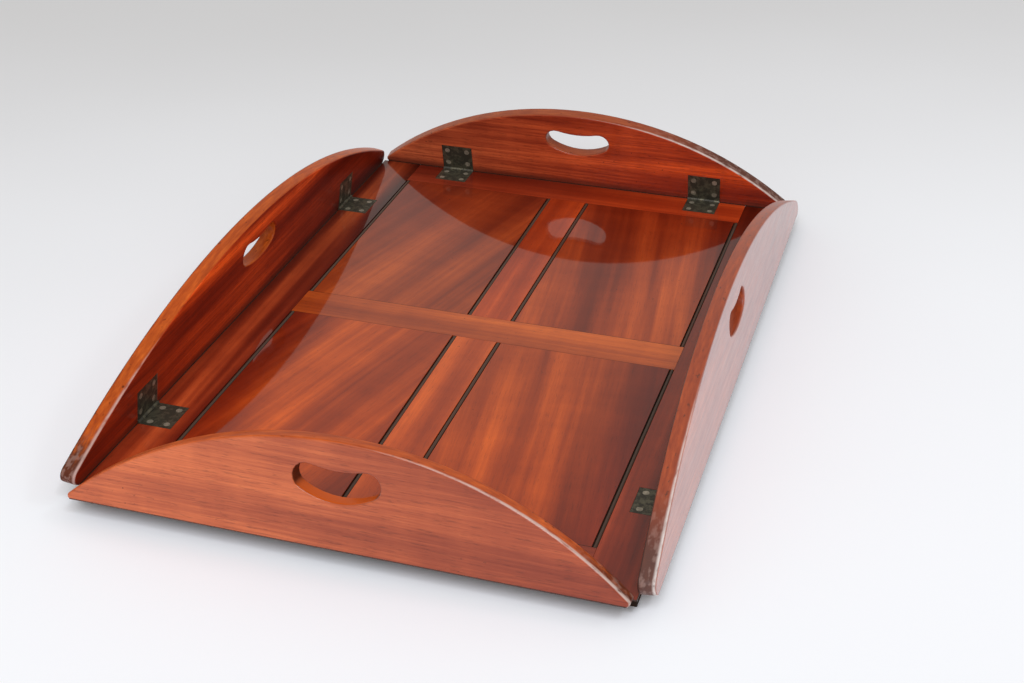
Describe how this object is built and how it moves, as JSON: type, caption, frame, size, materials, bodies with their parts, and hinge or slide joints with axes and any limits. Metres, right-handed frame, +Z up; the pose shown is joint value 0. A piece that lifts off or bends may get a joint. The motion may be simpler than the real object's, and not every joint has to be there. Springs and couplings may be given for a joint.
{
  "type": "butler tray",
  "caption": "Mahogany butler's tray: a framed and panelled base with arc-topped flaps that swing on sprung brass hinges from upright to level, each with a hand-hold.",
  "frame": {"origin": "middle of the base's underside", "axes": "+Z up, +Y along the tray's length to its far end, +X to its right side as seen from the near end"},
  "size_m": [0.5706, 0.8292, 0.122],
  "materials": {
    "frame": "French-polished mahogany, gloss",
    "middle_rail": "French-polished lighter mahogany, gloss",
    "panel": "French-polished striped mahogany, gloss",
    "flap": "French-polished mahogany, gloss, worn at the edges",
    "hinge_brass": "darkened by age",
    "spring_steel": "blued, dull"
  },
  "bodies": {
    "base": {"stile_left": "frame", "stile_right": "frame", "rail_near": "frame", "rail_far": "frame", "muntin_near": "frame", "muntin_far": "frame", "rail_middle": "middle_rail", "panel_near_left": "panel", "panel_near_right": "panel", "panel_far_left": "panel", "panel_far_right": "panel", "hinge_far_right_base_leaf": "hinge_brass", "hinge_far_right_pin": "hinge_brass", "hinge_far_right_spring": "spring_steel", "hinge_far_left_base_leaf": "hinge_brass", "hinge_far_left_pin": "hinge_brass", "hinge_far_left_spring": "spring_steel", "hinge_near_left_base_leaf": "hinge_brass", "hinge_near_left_pin": "hinge_brass", "hinge_near_left_spring": "spring_steel", "hinge_near_right_base_leaf": "hinge_brass", "hinge_near_right_pin": "hinge_brass", "hinge_near_right_spring": "spring_steel", "hinge_left_far_base_leaf": "hinge_brass", "hinge_left_far_pin": "hinge_brass", "hinge_left_far_spring": "spring_steel", "hinge_left_near_base_leaf": "hinge_brass", "hinge_left_near_pin": "hinge_brass", "hinge_left_near_spring": "spring_steel", "hinge_right_near_base_leaf": "hinge_brass", "hinge_right_near_pin": "hinge_brass", "hinge_right_near_spring": "spring_steel", "hinge_right_far_base_leaf": "hinge_brass", "hinge_right_far_pin": "hinge_brass", "hinge_right_far_spring": "spring_steel"},
    "flap_far": {"flap_far": "flap", "hinge_far_right_flap_leaf": "hinge_brass", "hinge_far_left_flap_leaf": "hinge_brass"},
    "flap_near": {"flap_near": "flap", "hinge_near_left_flap_leaf": "hinge_brass", "hinge_near_right_flap_leaf": "hinge_brass"},
    "flap_left": {"flap_left": "flap", "hinge_left_far_flap_leaf": "hinge_brass", "hinge_left_near_flap_leaf": "hinge_brass"},
    "flap_right": {"flap_right": "flap", "hinge_right_near_flap_leaf": "hinge_brass", "hinge_right_far_flap_leaf": "hinge_brass"}
  },
  "joints": [
    {"name": "far_flap_hinge", "type": "hinge", "parent": "base", "child": "flap_far", "pos_m": [0, 0.3985, 0.0165], "axis": [-1, 0, 0], "range_deg": [0, 101.5]},
    {"name": "near_flap_hinge", "type": "hinge", "parent": "base", "child": "flap_near", "pos_m": [0, -0.3985, 0.0165], "axis": [1, 0, 0], "range_deg": [0, 101.5]},
    {"name": "left_flap_hinge", "type": "hinge", "parent": "base", "child": "flap_left", "pos_m": [-0.269, 0, 0.0165], "axis": [0, -1, 0], "range_deg": [0, 97.7]},
    {"name": "right_flap_hinge", "type": "hinge", "parent": "base", "child": "flap_right", "pos_m": [0.269, 0, 0.0165], "axis": [0, 1, 0], "range_deg": [0, 97.7]}
  ]
}
